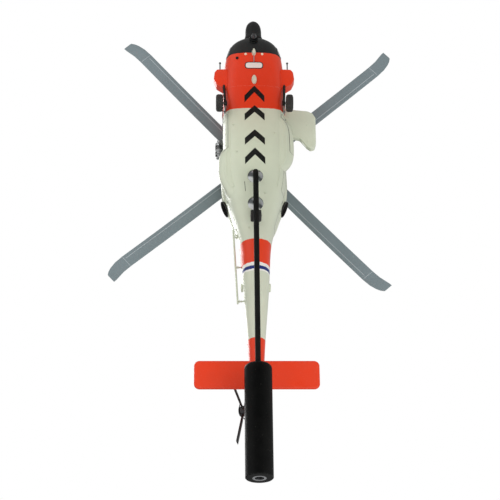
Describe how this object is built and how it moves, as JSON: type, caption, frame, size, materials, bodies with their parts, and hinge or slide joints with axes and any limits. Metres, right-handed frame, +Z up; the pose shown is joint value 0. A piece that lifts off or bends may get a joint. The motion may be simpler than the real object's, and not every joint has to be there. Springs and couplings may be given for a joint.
{
  "type": "helicopter scale model",
  "caption": "Desk model of a twin-engine rescue helicopter in red, off-white and black, with turning rotors and wheels, carried on a bent black rod and a round post.",
  "frame": {"origin": "centre of the socket in the flat face at the post's free end", "axes": "+X along the post towards the helicopter's nose, +Y to the helicopter's port side, +Z up through the rotor mast"},
  "size_m": [0.4821, 0.2742, 0.1417],
  "materials": {
    "white_paint": "satin paint over cast resin",
    "red_paint": "satin paint over cast resin",
    "black_paint": "satin paint",
    "grey_blade_paint": "satin paint",
    "chrome_plate": "polished",
    "steel": "plain",
    "rubber": "matt",
    "stand_black": "satin black",
    "hoist_grey": "satin",
    "duct_black": "matt",
    "lamp_cream": "gloss",
    "turret_black": "gloss"
  },
  "bodies": {
    "stand": {"stand_rod": "stand_black", "stand_post": "stand_black", "post_insert": "steel", "post_set_screw": "steel"},
    "airframe": {"front_ferrule": "chrome_plate", "rear_ferrule": "chrome_plate", "nose_block": "red_paint", "cabin_block": "white_paint", "tail_boom": "white_paint", "tail_pylon": "red_paint", "engine_deck": "white_paint", "left_nacelle": "white_paint", "right_nacelle": "white_paint", "intake_lips": "duct_black", "exhaust_ducts": "duct_black", "stabilator": "red_paint", "nose_radome": "black_paint", "turret_mount": "black_paint", "turret_ball": "turret_black", "front_belly_antenna": "white_paint", "rear_belly_antenna": "white_paint", "belly_wire": "steel", "marker_lights": "lamp_cream", "port_pylon": "white_paint", "hoist_body": "hoist_grey", "hoist_hook": "steel", "antenna_rail": "white_paint", "rail_standoffs": "white_paint", "gear_fairings": "red_paint", "drag_beams": "black_paint", "oleo_struts": "steel", "wheel_axles": "steel", "probes": "black_paint", "mast_pin": "steel", "mast_sleeve": "black_paint", "rotor_cap_nut": "steel", "tail_gearbox": "red_paint", "tail_rotor_pin": "steel"},
    "main_rotor": {"rotor_hub": "black_paint", "blade_cuffs": "black_paint", "main_blade_1": "grey_blade_paint", "main_blade_2": "grey_blade_paint", "main_blade_3": "grey_blade_paint", "main_blade_4": "grey_blade_paint"},
    "tail_rotor": {"tail_rotor_hub": "black_paint", "tail_rotor_blades": "grey_blade_paint"},
    "left_wheel": {"left_tyre": "rubber", "left_wheel_hub": "white_paint"},
    "right_wheel": {"right_tyre": "rubber", "right_wheel_hub": "white_paint"},
    "tail_wheel_fork": {"tail_wheel_yoke": "white_paint", "tail_wheel_axle": "steel"},
    "tail_wheels": {"tail_tyres": "rubber", "tail_wheel_hubs": "white_paint"}
  },
  "joints": [
    {"name": "stand_swivel", "type": "hinge", "parent": "stand", "child": "airframe", "pos_m": [0.2992, 0, 0.02], "axis": [0, 0, 1], "continuous": true},
    {"name": "main_rotor_spin", "type": "hinge", "parent": "airframe", "child": "main_rotor", "pos_m": [0.345, 0, 0.0743], "axis": [0, 0, 1], "continuous": true},
    {"name": "tail_rotor_spin", "type": "hinge", "parent": "airframe", "child": "tail_rotor", "pos_m": [0.098, 0, 0.0893], "axis": [0, -0.9397, 0.342], "continuous": true},
    {"name": "left_wheel_spin", "type": "hinge", "parent": "airframe", "child": "left_wheel", "pos_m": [0.377, 0.033, 0.01155], "axis": [0, 1, 0], "continuous": true},
    {"name": "right_wheel_spin", "type": "hinge", "parent": "airframe", "child": "right_wheel", "pos_m": [0.377, -0.033, 0.01155], "axis": [0, 1, 0], "continuous": true},
    {"name": "tail_wheel_swivel", "type": "hinge", "parent": "airframe", "child": "tail_wheel_fork", "pos_m": [0.258, 0, 0.01], "axis": [0, 0, 1], "continuous": true},
    {"name": "tail_wheel_spin", "type": "hinge", "parent": "tail_wheel_fork", "child": "tail_wheels", "pos_m": [0.255, 0, 0.0088], "axis": [0, 1, 0], "continuous": true}
  ]
}
